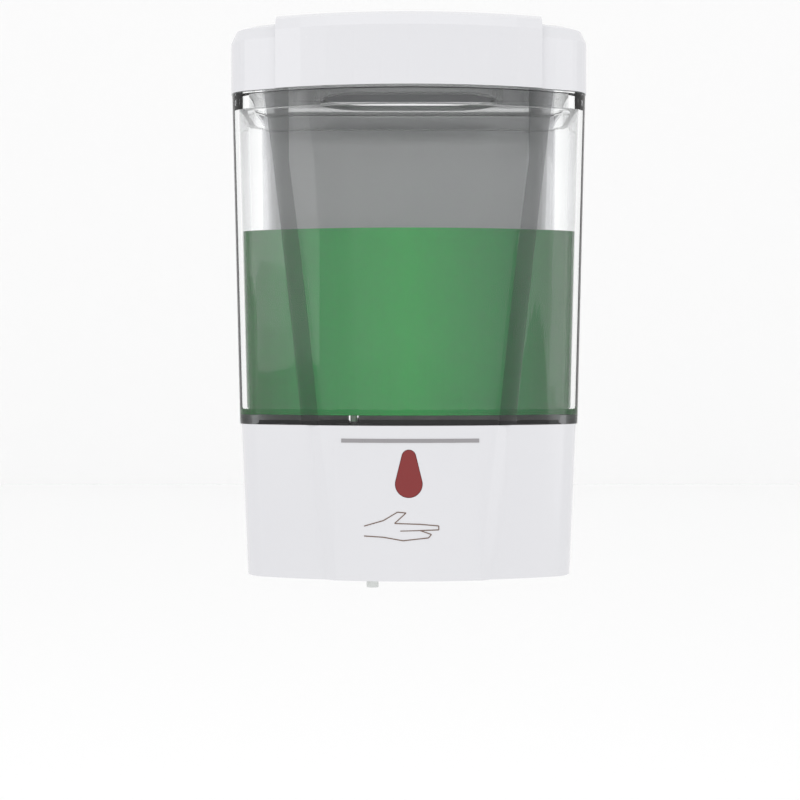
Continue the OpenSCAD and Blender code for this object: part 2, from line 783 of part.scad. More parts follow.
module pump_screw_holes(r, x0, x1) {
    for (y = [idler_y - chamber_r + 1.2, pump_y + chamber_r - 1.2], z = [-1, 1])
        rod_x(r, x0, x1, y, pump_z + z * (chamber_r + 0.1), 32);
}

module motor_can() {
    color("silver") difference() {
        rod_x(motor_d / 2, plate_x, plate_x + motor_l, motor_y, motor_z, 64);
        rod_x(motor_d / 2 - 1, plate_x + 1.2, plate_x + motor_l + 1, motor_y, motor_z, 64);
        rod_x(motor_shaft_r + run, plate_x - 1, plate_x + 2, motor_y, motor_z);
        for (z = [-1, 1])
            rod_x(0.9, plate_x - 1, plate_x + 2, motor_y, motor_z + z * 8, 32);
    }
}

module motor_endbell() {
    end_x = plate_x + motor_l;
    color("ivory") difference() {
        union() {
            rod_x(motor_d / 2 - 1, end_x - 3, end_x, motor_y, motor_z, 64);
            rod_x(motor_d / 2, end_x, end_x + 1.6, motor_y, motor_z, 64);
            rod_x(3.4, end_x, end_x + 3, motor_y, motor_z);
            for (y = [-1, 1])
                box(end_x, end_x + 5, motor_y + y * 7 - 1.2, motor_y + y * 7 + 1.2, motor_z - 0.3, motor_z + 0.3);
        }
        rod_x(motor_shaft_r + run, end_x - 4, end_x + 1.6, motor_y, motor_z);
    }
}

module motor_armature() {
    color("gray") {
        rod_x(motor_shaft_r, gear_x - 0.6, plate_x + motor_l + 1.2, motor_y, motor_z);
        rod_x(motor_d / 2 - 2.4, plate_x + 4, plate_x + motor_l - 5, motor_y, motor_z);
    }
}

module motor_pinion() {
    color("gold") spur_gear(pinion_teeth, gear_module, gear_w, motor_shaft_r, gear_x, motor_y, motor_z,
        -90 + 180 / pinion_teeth, 0.8, 0.09, 0.27);
}

module reduction_gear() {
    color("white") difference() {
        spur_gear(gear_teeth, gear_module, gear_w, shaft_r, gear_x, pump_y, pump_z, 90, 0.8, 0.11, 0.27);
        for (turn = [0:60:300])
            translate([gear_x - 1, pump_y, pump_z]) rotate([turn, 0, 0]) rod_x(2.4, 0, gear_w + 2, 8, 0, 32);
    }
}

module pump_shaft() {
    color("silver") rod_x(shaft_r, gear_x - 0.6, pump_back_x - 1, pump_y, pump_z);
}

module pump_drive_gear() {
    color("ivory") spur_gear(pump_teeth, pump_module, pump_gear_w, shaft_r, chamber_x + 0.2, pump_y, pump_z,
        -90, 0.8, 0.08, 0.26);
}

module pump_idler_gear() {
    color("ivory") spur_gear(pump_teeth, pump_module, pump_gear_w, shaft_r + run, chamber_x + 0.2,
        idler_y, pump_z, 90 + 180 / pump_teeth, 0.8, 0.08, 0.26);
}

module idler_pin() {
    color("silver") rod_x(shaft_r, chamber_x, pump_back_x - 1, idler_y, pump_z);
}

module pump_housing() {
    y0 = idler_y - chamber_r - pump_wall;
    y1 = pump_y + chamber_r + 0.6;
    color("lightsteelblue") difference() {
        union() {
            box(chamber_x, pump_back_x, y0, y1, pump_low, pump_top);
            translate([inlet_x, port_y, pump_top - 1]) cylinder(r = spigot_r, h = 3.4, $fn = 48);
            translate([nozzle_x, port_y, pump_low - 4]) cylinder(r = 3, h = 5, $fn = 48);
        }
        for (y = [pump_y, idler_y])
            rod_x(chamber_r, chamber_x - 1, chamber_x + pump_gear_w + 0.4, y, pump_z, 64);
        rod_x(shaft_r + run, chamber_x, pump_back_x - 1, pump_y, pump_z);
        rod_x(shaft_r, chamber_x, pump_back_x - 1, idler_y, pump_z);
        translate([inlet_x, port_y, pump_z + 2]) cylinder(r = port_bore, h = chamber_r + 4, $fn = 32);
        translate([nozzle_x, port_y, pump_low - 5]) cylinder(r = 1.5, h = chamber_r + 4, $fn = 32);
        pump_screw_holes(0.9, chamber_x - 1, chamber_x + 8);
    }
}

module pump_cover() {
    color("slategray") difference() {
        box(plate_x, chamber_x, idler_y - chamber_r - pump_wall, pump_y + chamber_r + 0.6, pump_low, pump_top);
        rod_x(shaft_r + run, plate_x - 1, chamber_x + 1, pump_y, pump_z);
        pump_screw_holes(1.1, plate_x - 1, chamber_x + 1);
    }
}

// Silicone tube standing on z0
module tube(z0, length, r_out, r_in) {
    color([0.9, 0.9, 0.85]) translate([0, 0, z0]) difference() {
        cylinder(r = r_out, h = length, $fn = 48);
        translate([0, 0, -1]) cylinder(r = r_in, h = length + 2, $fn = 48);
    }
}

module inlet_sleeve() {
    translate([inlet_x, port_y, 0]) tube(pump_top, z_deck - 1.6 - pump_top, spigot_r + 1.4, spigot_r + 0.02);
}

module outlet_hose() {
    translate([nozzle_x, port_y, 0]) tube(z_floor + 1.5, pump_low - z_floor - 1.5, 4.4, 3.02);
}

module outlet_nozzle() {
    color("white") translate([nozzle_x, port_y, 0]) difference() {
        union() {
            translate([0, 0, z_floor]) cylinder(r = 6, h = 1.5, $fn = 48);
            translate([0, 0, z_floor]) cylinder(r = 3, h = 8, $fn = 48);
            translate([0, 0, z_bottom + 0.6]) cylinder(r = 3.9, h = wall, $fn = 48);
            translate([0, 0, z_bottom - nozzle_drop]) cylinder(r = nozzle_r, h = nozzle_drop + wall, $fn = 48);
        }
        translate([0, 0, z_bottom - nozzle_drop - 1]) cylinder(r = 1.4, h = nozzle_drop + wall + 12, $fn = 32);
    }
}

// ---- Fasteners ----

module pump_screws() {
    color("silver") for (y = [idler_y - chamber_r + 1.2, pump_y + chamber_r - 1.2], z = [-1, 1])
        translate([plate_x - drive_t + 1, y, pump_z + z * (chamber_r + 0.1)]) rotate([0, -90, 0])
            screw(2, 1.2, 0.88, 8);
}

module motor_screws() {
    color("silver") for (z = [-1, 1])
        translate([plate_x - drive_t, motor_y, motor_z + z * 8]) rotate([0, -90, 0])
            screw(1.9, 1, 0.88, 3);
}

module board_screws() {
    color("silver") for (z = [board_z0 + 3, board_z0 + board_h - 3])
        translate([board_x0 + board_w - 3, board_y + board_t, z]) rotate([-90, 0, 0])
            screw(1.9, 1.2, 0.78, 4.5);
}

module deck_screws() {
    color("silver") for (x = [-1, 1], y = [post_front_y, post_back_y])
        translate([x * post_x, y, z_base - 1.9]) screw(2.8, 1.7, 1.18, 10);
}

module back_screws() {
    color("silver") {
        for (x = [-1, 1], z = back_boss_z)
            translate([x * boss_x, y_plate + plate_t, z]) rotate([-90, 0, 0]) screw(2.8, 1.7, 1.18, 12);
        for (x = [-1, 1])
            translate([x * post_x, y_plate + plate_t, base_boss_z]) rotate([-90, 0, 0]) screw(2.8, 1.7, 1.18, 12);
    }
}

// ---- Wiring ----

module lead(route) {
    sweep(route, 0.6, 8);
}

module battery_leads() {
    color("red") for (side = [0, 1])
        lead([[14 + 3 * side, tray_front + 8, tray_top + 0.7], [14 + 3 * side, tray_front + 2, tray_top + 1],
            [14 + 3 * side, tray_front - 6, tray_top + 3], [13 + 3 * side, tray_front - 14, tray_top + 8],
            [11 + 3 * side, board_y + board_t + 5, board_z0 + 12],
            [10 + 3 * side, board_y + board_t + 0.1, board_z0 + 12]]);
}

module motor_leads() {
    color("black") for (side = [0, 1]) {
        y = motor_y + (side > 0 ? 7 : -7);
        lead([[plate_x + motor_l + 5.2, y, motor_z], [plate_x + motor_l + 8, y - 1, motor_z + 1],
            [5 + 3 * side, y - 8, motor_z + 4], [4 + 3 * side, board_y + board_t + 14, motor_z + 5],
            [3 + 3 * side, board_y + board_t + 5, board_z0 + 20],
            [3 + 3 * side, board_y + board_t + 0.1, board_z0 + 20]]);
    }
}

// ---- Nodes ----

wall_bracket();
back_plate();
rear_housing();
base_shell();
deck_plate();
tank_body();
tank_deck();
soap_fill();
inlet_filter();
tank_grommet();
lid();
lid_pins();
sensor_lens();
sensor_board();
ir_emitter();
ir_receiver();
status_led();
battery_tray();
battery_cell_1();
battery_cell_2();
battery_cell_3();
battery_cell_4();
contact_plates();
contact_springs();
battery_door();
door_pin();
switch_body();
switch_knob();
drive_plate();
motor_can();
motor_endbell();
motor_armature();
motor_pinion();
reduction_gear();
pump_shaft();
pump_drive_gear();
pump_idler_gear();
idler_pin();
pump_housing();
pump_cover();
inlet_sleeve();
outlet_hose();
outlet_nozzle();
pump_screws();
motor_screws();
board_screws();
deck_screws();
back_screws();
battery_leads();
motor_leads();
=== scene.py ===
import math

import bpy
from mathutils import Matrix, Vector


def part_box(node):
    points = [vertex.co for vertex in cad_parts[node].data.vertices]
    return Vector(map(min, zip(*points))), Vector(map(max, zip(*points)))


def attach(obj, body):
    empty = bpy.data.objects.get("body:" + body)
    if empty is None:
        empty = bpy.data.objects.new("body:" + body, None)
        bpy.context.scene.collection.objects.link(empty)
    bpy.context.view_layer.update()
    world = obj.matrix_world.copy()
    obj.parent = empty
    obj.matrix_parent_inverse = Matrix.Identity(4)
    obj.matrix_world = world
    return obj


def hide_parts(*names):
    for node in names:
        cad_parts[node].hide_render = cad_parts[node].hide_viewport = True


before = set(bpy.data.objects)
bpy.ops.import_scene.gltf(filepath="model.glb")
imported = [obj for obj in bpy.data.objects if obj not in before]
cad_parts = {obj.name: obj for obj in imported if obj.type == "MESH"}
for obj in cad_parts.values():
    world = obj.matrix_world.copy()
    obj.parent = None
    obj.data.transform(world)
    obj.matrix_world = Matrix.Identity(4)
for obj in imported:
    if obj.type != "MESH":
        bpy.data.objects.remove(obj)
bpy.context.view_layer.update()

MM = 0.001


# ---- Camera, light and floor ----
# A level view of the front from half a metre, plain soft studio light from both sides and above,
# and a pale floor and backdrop that stay well clear of the object.
scene = bpy.context.scene
scene.view_settings.view_transform = "Standard"
body_low, body_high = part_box("base_shell")
lid_low, lid_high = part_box("lid")

eye_distance = 500 * MM
eye_height = 79 * MM
camera_data = bpy.data.cameras.new("front_camera")
camera_data.lens = 63.7
camera_data.sensor_width = 36
camera_data.shift_x = -0.011
camera_data.shift_y = -0.0525
camera_data.clip_start = 0.01
camera = bpy.data.objects.new("front_camera", camera_data)
camera.location = (0, lid_low[1] - eye_distance, body_low[2] + eye_height)
camera.rotation_euler = (math.pi / 2, 0, 0)
scene.collection.objects.link(camera)
scene.camera = camera


def soft_light(name, place, aim, width, height, power):
    lamp = bpy.data.lights.new(name, "AREA")
    lamp.shape = "RECTANGLE"
    lamp.size = width
    lamp.size_y = height
    lamp.energy = power
    holder = bpy.data.objects.new(name, lamp)
    holder.location = place
    holder.rotation_euler = (Vector(aim) - Vector(place)).to_track_quat("-Z", "Y").to_euler()
    scene.collection.objects.link(holder)


soft_light("key_left", (-0.75, -0.75, 0.35), (0, -0.05, 0), 0.5, 0.9, 1.6)
soft_light("fill_right", (0.8, -0.6, 0.15), (0, -0.05, 0), 0.35, 0.9, 1.0)
soft_light("top_light", (0, -0.35, 0.9), (0, -0.05, 0), 0.8, 0.5, 0.8)
soft_light("front_fill", (0.1, -1.5, 0.1), (0, 0, 0), 1.2, 0.9, 0.4)

world = bpy.data.worlds.new("studio")
world.use_nodes = True
world.node_tree.nodes["Background"].inputs["Color"].default_value = (1, 1, 1, 1)
world.node_tree.nodes["Background"].inputs["Strength"].default_value = 1.0
scene.world = world


def plain(name, colour, rough):
    made = bpy.data.materials.new(name)
    made.use_nodes = True
    shader = made.node_tree.nodes["Principled BSDF"]
    shader.inputs["Base Color"].default_value = (*colour, 1)
    shader.inputs["Roughness"].default_value = rough
    return made


bpy.ops.object.select_all(action="DESELECT")
bpy.ops.mesh.primitive_plane_add(size=6, location=(0, 1.2, body_low[2] - 0.35))
floor = bpy.context.object
floor.name = "studio_floor"
bpy.ops.object.mode_set(mode="EDIT")
bpy.ops.mesh.select_mode(type="EDGE")
bpy.ops.mesh.select_all(action="DESELECT")
bpy.ops.object.mode_set(mode="OBJECT")
for edge in floor.data.edges:
    edge.select = all(floor.data.vertices[v].co.y > 2.9 for v in edge.vertices)
bpy.ops.object.mode_set(mode="EDIT")
bpy.ops.mesh.extrude_region_move(TRANSFORM_OT_translate={"value": (0, 0, 4)})
bpy.ops.object.mode_set(mode="OBJECT")
floor.data.materials.append(plain("pale_floor", (0.97, 0.97, 0.97), 0.8))


# ---- Moulded plastic skin ----
# Every injection moulded piece has a faint orange peel in its gloss and a slightly uneven tone.
# The group gives a colour, a roughness and a height, which each plastic feeds to its own shader.
def skin_group():
    group = bpy.data.node_groups.new("moulded_skin", "ShaderNodeTree")
    face = group.interface
    face.new_socket("Colour", in_out="INPUT", socket_type="NodeSocketColor")
    face.new_socket("Shade", in_out="INPUT", socket_type="NodeSocketColor")
    face.new_socket("Roughness", in_out="INPUT", socket_type="NodeSocketFloat")
    face.new_socket("Spread", in_out="INPUT", socket_type="NodeSocketFloat")
    face.new_socket("Grain", in_out="INPUT", socket_type="NodeSocketFloat")
    face.new_socket("Colour", in_out="OUTPUT", socket_type="NodeSocketColor")
    face.new_socket("Roughness", in_out="OUTPUT", socket_type="NodeSocketFloat")
    face.new_socket("Height", in_out="OUTPUT", socket_type="NodeSocketFloat")
    nodes, links = group.nodes, group.links
    entry = nodes.new("NodeGroupInput")
    leave = nodes.new("NodeGroupOutput")
    place = nodes.new("ShaderNodeTexCoord")
    cloud = nodes.new("ShaderNodeTexNoise")
    cloud.inputs["Scale"].default_value = 18
    cloud.inputs["Detail"].default_value = 3
    peel = nodes.new("ShaderNodeTexNoise")
    peel.inputs["Detail"].default_value = 4
    links.new(place.outputs["Object"], cloud.inputs["Vector"])
    links.new(place.outputs["Object"], peel.inputs["Vector"])
    links.new(entry.outputs["Grain"], peel.inputs["Scale"])
    tone = nodes.new("ShaderNodeMix")
    tone.data_type = "RGBA"
    links.new(cloud.outputs["Fac"], tone.inputs["Factor"])
    links.new(entry.outputs["Colour"], tone.inputs["A"])
    links.new(entry.outputs["Shade"], tone.inputs["B"])
    centred = nodes.new("ShaderNodeMath")
    centred.operation = "SUBTRACT"
    links.new(peel.outputs["Fac"], centred.inputs[0])
    centred.inputs[1].default_value = 0.5
    scaled = nodes.new("ShaderNodeMath")
    scaled.operation = "MULTIPLY"
    links.new(centred.outputs[0], scaled.inputs[0])
    links.new(entry.outputs["Spread"], scaled.inputs[1])
    rough = nodes.new("ShaderNodeMath")
    rough.operation = "ADD"
    rough.use_clamp = True
    links.new(scaled.outputs[0], rough.inputs[0])
    links.new(entry.outputs["Roughness"], rough.inputs[1])
    links.new(tone.outputs["Result"], leave.inputs["Colour"])
    links.new(rough.outputs[0], leave.inputs["Roughness"])
    links.new(peel.outputs["Fac"], leave.inputs["Height"])
    return group


SKIN = skin_group()


def moulded(name, colour, shade, rough, spread=0.1, grain=900, bump=0.02, metal=0, coat=0):
    """A moulded or machined finish that takes its tone, gloss and grain from the skin group."""
    made = bpy.data.materials.new(name)
    made.use_nodes = True
    nodes, links = made.node_tree.nodes, made.node_tree.links
    shader = nodes["Principled BSDF"]
    shader.inputs["Metallic"].default_value = metal
    shader.inputs["Coat Weight"].default_value = coat
    shader.inputs["Coat Roughness"].default_value = 0.08
    skin = nodes.new("ShaderNodeGroup")
    skin.node_tree = SKIN
    skin.inputs["Colour"].default_value = (*colour, 1)
    skin.inputs["Shade"].default_value = (*shade, 1)
    skin.inputs["Roughness"].default_value = rough
    skin.inputs["Spread"].default_value = spread
    skin.inputs["Grain"].default_value = grain
    relief = nodes.new("ShaderNodeBump")
    relief.inputs["Strength"].default_value = bump
    relief.inputs["Distance"].default_value = 0.0002
    links.new(skin.outputs["Colour"], shader.inputs["Base Color"])
    links.new(skin.outputs["Roughness"], shader.inputs["Roughness"])
    links.new(skin.outputs["Height"], relief.inputs["Height"])
    links.new(relief.outputs["Normal"], shader.inputs["Normal"])
    return made


def dress(material, *names):
    """Gives CAD nodes a finish."""
    for name in names:
        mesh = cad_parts[name].data
        mesh.materials.clear()
        mesh.materials.append(material)


WHITE = moulded("white_gloss_abs", (0.67, 0.67, 0.69), (0.64, 0.64, 0.665), 0.25, coat=0.2)


# ---- Wall bracket ----
# A flat plate of white ABS, screwed to the wall by four screws, with two hooks that carry the body.
dress(moulded("bracket_abs", (0.78, 0.78, 0.77), (0.73, 0.73, 0.72), 0.45, bump=0.06), "wall_bracket")


# ---- Back plate and rear housing ----
# Glossy white ABS mouldings: the plate closes the back and hangs on the hooks, and the housing
# stands behind the tank, screwed to the plate from behind, with the arms of the lid hinge on top.
dress(WHITE, "back_plate", "rear_housing")


# ---- Base shell ----
# The pump base is one white ABS moulding, bowed to the front, with a raised panel that runs on from
# the tank's panel. Its floor is cut out for the battery door, the outlet and the switch.
BOW = 146 * MM
corner = 10 * MM
panel_rise = 1.6 * MM
wall = 2.5 * MM


def start_at(name, place):
    """Begins a new mesh object with one vertex, left in edit mode."""
    bpy.ops.object.select_all(action="DESELECT")
    bpy.ops.mesh.primitive_plane_add(size=MM)
    begun = bpy.context.object
    begun.name = name
    bpy.ops.object.mode_set(mode="EDIT")
    bpy.ops.mesh.select_mode(type="VERT")
    bpy.ops.mesh.merge(type="CENTER")
    bpy.ops.transform.translate(value=place)
    return begun


def close_half(thickness, widen=1):
    """Mirrors the half outline, fills it and extrudes it, then widens the far end."""
    bpy.ops.mesh.select_all(action="SELECT")
    bpy.ops.mesh.duplicate()
    bpy.ops.transform.resize(value=(-1, 1, 1), center_override=(0, 0, 0))
    bpy.ops.mesh.select_all(action="SELECT")
    bpy.ops.mesh.remove_doubles(threshold=0.02 * MM)
    bpy.ops.mesh.edge_face_add()
    bpy.ops.mesh.extrude_region_move(TRANSFORM_OT_translate={"value": thickness})
    bpy.ops.transform.resize(value=(widen, 1, 1), center_override=(0, 0, 0))
    bpy.ops.mesh.select_all(action="SELECT")
    bpy.ops.mesh.normals_make_consistent(inside=False)
    bpy.ops.object.mode_set(mode="OBJECT")


def bowed_block(name, half, front, back, low, high, widen=1, corner=corner, back_corner=1 * MM):
    """Solid with a bowed front, straight sides and rounded upright corners."""
    reach = BOW - corner
    corner_x = half - corner
    corner_y = front + BOW - math.sqrt(reach ** 2 - corner_x ** 2)
    turn = math.asin(corner_x / reach)
    block = start_at(name, (0, front, low))
    bpy.ops.mesh.spin(steps=30, angle=-turn, center=(0, front + BOW, low), axis=(0, 0, 1))
    bpy.ops.mesh.spin(steps=12, angle=turn - math.pi / 2, center=(corner_x, corner_y, low), axis=(0, 0, 1))
    bpy.ops.mesh.extrude_region_move(TRANSFORM_OT_translate={"value": (0, back - back_corner - corner_y, 0)})
    bpy.ops.mesh.spin(steps=8, angle=-math.pi / 2, center=(half - back_corner, back - back_corner, low),
                      axis=(0, 0, 1))
    bpy.ops.mesh.extrude_region_move(TRANSFORM_OT_translate={"value": (back_corner - half, 0, 0)})
    close_half((0, 0, high - low), widen)
    return block


def pick_edges(piece, wanted):
    """Selects the edges whose two ends both meet a test."""
    bpy.ops.object.select_all(action="DESELECT")
    piece.select_set(True)
    bpy.context.view_layer.objects.active = piece
    bpy.ops.object.mode_set(mode="EDIT")
    bpy.ops.mesh.select_mode(type="EDGE")
    bpy.ops.mesh.select_all(action="DESELECT")
    bpy.ops.object.mode_set(mode="OBJECT")
    points = piece.data.vertices
    for edge in piece.data.edges:
        edge.select = all(wanted(points[v].co) for v in edge.vertices)
    bpy.ops.object.mode_set(mode="EDIT")


def round_edges(piece, radius, steps, wanted):
    """Rounds edges with overlap clamped, so the radius can come out far smaller than asked."""
    pick_edges(piece, wanted)
    bpy.ops.mesh.bevel(offset=radius, segments=steps, profile=0.5, clamp_overlap=True)
    bpy.ops.object.mode_set(mode="OBJECT")


def combine(piece, tool, how):
    """Unites a piece with a tool, or cuts it with the tool, and removes the tool."""
    bpy.ops.object.select_all(action="DESELECT")
    bpy.context.view_layer.objects.active = piece
    piece.select_set(True)
    step = piece.modifiers.new("combine", "BOOLEAN")
    step.operation = how
    step.solver = "MANIFOLD"
    step.object = tool
    bpy.ops.object.modifier_apply(modifier=step.name)
    bpy.data.objects.remove(tool, do_unlink=True)


def shade_between_edges(piece):
    """Shades a moulding smooth, except over its sharp edges."""
    bpy.ops.object.select_all(action="DESELECT")
    bpy.context.view_layer.objects.active = piece
    piece.select_set(True)
    bpy.ops.object.shade_smooth_by_angle(angle=math.radians(30))


def box_block(name, low, high):
    bpy.ops.object.select_all(action="DESELECT")
    bpy.ops.mesh.primitive_cube_add(size=1)
    made = bpy.context.object
    made.name = name
    made.scale = [b - a for a, b in zip(low, high)]
    made.location = [(a + b) / 2 for a, b in zip(low, high)]
    bpy.ops.object.transform_apply(location=True, rotation=True, scale=True)
    return made


def rod_block(name, radius, start, length, axis="Z", sides=64):
    """Straight rod that starts at a point and runs along an axis."""
    turn = {"X": (0, math.pi / 2, 0), "Y": (-math.pi / 2, 0, 0), "Z": (0, 0, 0)}[axis]
    middle = Vector(start) + Vector([length / 2 if axis == a else 0 for a in "XYZ"])
    bpy.ops.object.select_all(action="DESELECT")
    bpy.ops.mesh.primitive_cylinder_add(vertices=sides, radius=radius, depth=length, location=middle,
                                        rotation=turn)
    made = bpy.context.object
    made.name = name
    bpy.ops.object.transform_apply(location=True, rotation=True, scale=True)
    return made


def raised_panel(name, front, low, high, half_low, half_high, chamfer):
    """Strip of the bowed front that stands proud, its two sides chamfered and drawn in downwards."""
    made = bowed_block(name, 56 * MM, front, front + 22 * MM, low, high)
    depth = 21 * MM
    wedge = box_block("panel_wedge", (-MM, front - MM, low), (MM, front + depth, high))
    for level, half in ((low, half_low), (high, half_high)):
        sag = BOW - math.sqrt(BOW ** 2 - half ** 2)
        for y in (front - MM, front + depth):
            wide = half + (y - front - sag) * chamfer / panel_rise
            bpy.ops.object.mode_set(mode="EDIT")
            bpy.ops.mesh.select_mode(type="VERT")
            bpy.ops.mesh.select_all(action="DESELECT")
            bpy.ops.object.mode_set(mode="OBJECT")
            for point in wedge.data.vertices:
                point.select = abs(point.co.y - y) < 0.01 * MM and abs(point.co.z - level) < 0.01 * MM
            bpy.ops.object.mode_set(mode="EDIT")
            bpy.ops.transform.resize(value=(wide / MM, 1, 1), center_override=(0, 0, 0))
            bpy.ops.object.mode_set(mode="OBJECT")
    combine(made, wedge, "INTERSECT")
    return made


tank_low, tank_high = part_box("tank_body")
z_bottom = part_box("back_plate")[0][2]
z_base = body_high[2]
base_front = body_low[1] + panel_rise
base_back = body_high[1]
base_half = body_high[0]
base_taper = 2.4 * MM
base_foot = base_half - base_taper
base_chamfer = 2.3 * MM
base_round = 8.5 * MM
panel_low, panel_mid, panel_top = 26 * MM, 32 * MM, 47 * MM

base = bowed_block("base_cover", base_foot, base_front, base_back, z_bottom, z_base, base_half / base_foot)
# This takes off only 0.1 cubic millimetres, so the base's lower edge stays square.
round_edges(base, base_round, 8, lambda p: p.z < z_bottom + 0.01 * MM and p.y < base_back - 0.1 * MM)
combine(base, raised_panel("base_panel", base_front - panel_rise, z_bottom, z_base, panel_low, panel_mid,
                           base_chamfer), "UNION")
hollow = bowed_block("base_hollow", base_foot - wall, base_front + wall, base_back + 2 * MM, z_bottom + wall,
                     z_base + 2 * MM, (base_half - wall) / (base_foot - wall), corner - wall)
round_edges(hollow, 6 * MM, 6, lambda p: p.z < z_bottom + wall + 0.01 * MM)
combine(base, hollow, "DIFFERENCE")

door_low, door_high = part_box("battery_door")
opening = box_block("door_opening", (door_low[0] - 0.4 * MM, door_low[1] - 0.4 * MM, z_bottom - 2 * MM),
                    (door_high[0] + 0.4 * MM, door_high[1] + 1.8 * MM, z_bottom + 2 * wall))
combine(base, opening, "DIFFERENCE")
nozzle_low, nozzle_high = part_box("outlet_nozzle")
nozzle_x = (nozzle_low[0] + nozzle_high[0]) / 2
nozzle_y = (nozzle_low[1] + nozzle_high[1]) / 2
combine(base, rod_block("outlet_hole", 4.1 * MM, (nozzle_x, nozzle_y, z_bottom - MM), 2 * wall), "DIFFERENCE")
knob_low, knob_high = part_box("switch_knob")
slot = box_block("switch_slot", (knob_low[0] - 1.5 * MM, knob_low[1] - 0.6 * MM, z_bottom - MM),
                 (knob_high[0] + 4.5 * MM, knob_high[1] + 0.6 * MM, z_bottom + 2 * wall))
combine(base, slot, "DIFFERENCE")


def drop_block(name, grow, front, back):
    """Prism with a drop's outline, round and wide below, round and narrow above."""
    lens_low, lens_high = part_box("sensor_lens")
    flange = 1.6 * MM
    r_low = (lens_high[0] - lens_low[0]) / 2 - flange
    r_top = 2.5 * MM
    z_low = lens_low[2] + flange + r_low
    z_top = lens_high[2] - flange - r_top
    lean = math.asin((r_low - r_top) / (z_top - z_low))
    made = start_at(name, (0, front, z_top + r_top + grow))
    bpy.ops.mesh.spin(steps=10, angle=lean - math.pi / 2, center=(0, front, z_top), axis=(0, 1, 0))
    reach = z_top - z_low
    slide = r_low - r_top
    bpy.ops.mesh.extrude_region_move(TRANSFORM_OT_translate={
        "value": (slide * math.cos(lean), 0, slide * math.sin(lean) - reach)})
    bpy.ops.mesh.spin(steps=16, angle=-lean - math.pi / 2, center=(0, front, z_low), axis=(0, 1, 0))
    close_half((0, back - front, 0))
    return made


combine(base, drop_block("lens_hole", 0.12 * MM, base_front - 4 * MM, base_front + 6 * MM), "DIFFERENCE")
shade_between_edges(base)
base.data.materials.clear()
base.data.materials.append(WHITE)
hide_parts("base_shell")
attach(base, "housing")


# ---- Clear moulded styrene acrylic ----
# The tank is clear with a faint grey cast. Its thick edges look dark, so they get a darker grey copy
# of the clear finish as painted shade. Both keep plain transmission, and only gloss and tint vary.
def clear_plastic(name, tint, deep, rough, ior=1.46):
    made = moulded(name, tint, deep, rough, spread=0.04, grain=120, bump=0.015)
    shader = made.node_tree.nodes["Principled BSDF"]
    shader.inputs["Transmission Weight"].default_value = 1
    shader.inputs["IOR"].default_value = ior
    return made


CLEAR = clear_plastic("clear_tank_plastic", (1.0, 1.0, 1.0), (0.98, 0.99, 0.99), 0.03)
CLEAR_EDGE_PAINTED_SHADE = clear_plastic("tank_edge_painted_shade", (0.45, 0.46, 0.46), (0.36, 0.37, 0.37), 0.12)


# ---- Tank ----
# One clear moulding: bowed front, raised panel whose chamfered edges carry painted shade, rounded corners, a
# thick rim round the mouth and a spigot under its floor. The cavity lies one wall inside the outer form.
tank_front = tank_low[1] + panel_rise
tank_back = tank_high[1]
tank_half = tank_high[0]
tank_taper = 2.9 * MM
tank_foot = tank_half - tank_taper
tank_wall = 2.4 * MM
tank_back_corner = 16 * MM
rim_inset = tank_wall + 3 * MM
tank_chamfer = 3.2 * MM
tank_floor = 3.4 * MM
rim_height = 5.8 * MM
z_mouth = tank_high[2]

tank = bowed_block("tank_cover", tank_foot, tank_front, tank_back, z_base, z_mouth, tank_half / tank_foot,
                   back_corner=tank_back_corner)
combine(tank, raised_panel("tank_panel", tank_front - panel_rise, z_base, z_mouth, panel_mid, panel_top,
                           tank_chamfer), "UNION")
# This takes off only 1.6 cubic millimetres, so the tank's lower edge stays nearly square.
round_edges(tank, 2 * MM, 4, lambda p: p.z < z_base + 0.01 * MM and abs(p.y - tank_front) > 10 * MM)
tank_hollow = bowed_block("tank_hollow", tank_foot - tank_wall, tank_front + tank_wall, tank_back - tank_wall,
                          z_base + tank_floor, z_mouth - rim_height,
                          (tank_half - tank_wall) / (tank_foot - tank_wall), corner - tank_wall,
                          tank_back_corner - tank_wall)
round_edges(tank_hollow, 3 * MM, 5, lambda p: p.z < z_base + tank_floor + 0.01 * MM)
combine(tank, tank_hollow, "DIFFERENCE")
mouth = bowed_block("tank_mouth", tank_half - rim_inset, tank_front + rim_inset,
                    tank_back - rim_inset, z_mouth - rim_height - MM, z_mouth + MM, 1,
                    corner - tank_wall, 12 * MM)
combine(tank, mouth, "DIFFERENCE")
port_x = -19.2 * MM
port_y = nozzle_y
spigot_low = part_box("tank_body")[0][2]
combine(tank, rod_block("spigot", 4 * MM, (port_x, port_y, spigot_low), z_base + MM - spigot_low), "UNION")
combine(tank, rod_block("spigot_bore", 1.8 * MM, (port_x, port_y, spigot_low - MM),
                        z_base + tank_floor + 2 * MM - spigot_low), "DIFFERENCE")
shade_between_edges(tank)
tank.data.materials.clear()
tank.data.materials.append(CLEAR)
tank.data.materials.append(CLEAR_EDGE_PAINTED_SHADE)
# The chamfered step faces on the front take the darker grey copy of the clear plastic, as painted shade for
# the dark look of the thick edges.
for face in tank.data.polygons:
    mid = face.center
    along = (mid.z - z_base) / (z_mouth - z_base)
    step_at = panel_mid + (panel_top - panel_mid) * along
    near_step = abs(abs(mid.x) - step_at) < 2.4 * MM
    bevel = near_step and abs(face.normal.x) > 0.15 and mid.y < tank_front + 22 * MM
    inner = mid.y > tank_front + 1.5 * MM + BOW - math.sqrt(BOW ** 2 - min(mid.x ** 2, BOW ** 2 / 2))
    if bevel and not inner and abs(mid.x) < 50 * MM:
        face.material_index = 1
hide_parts("tank_body")
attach(tank, "housing")
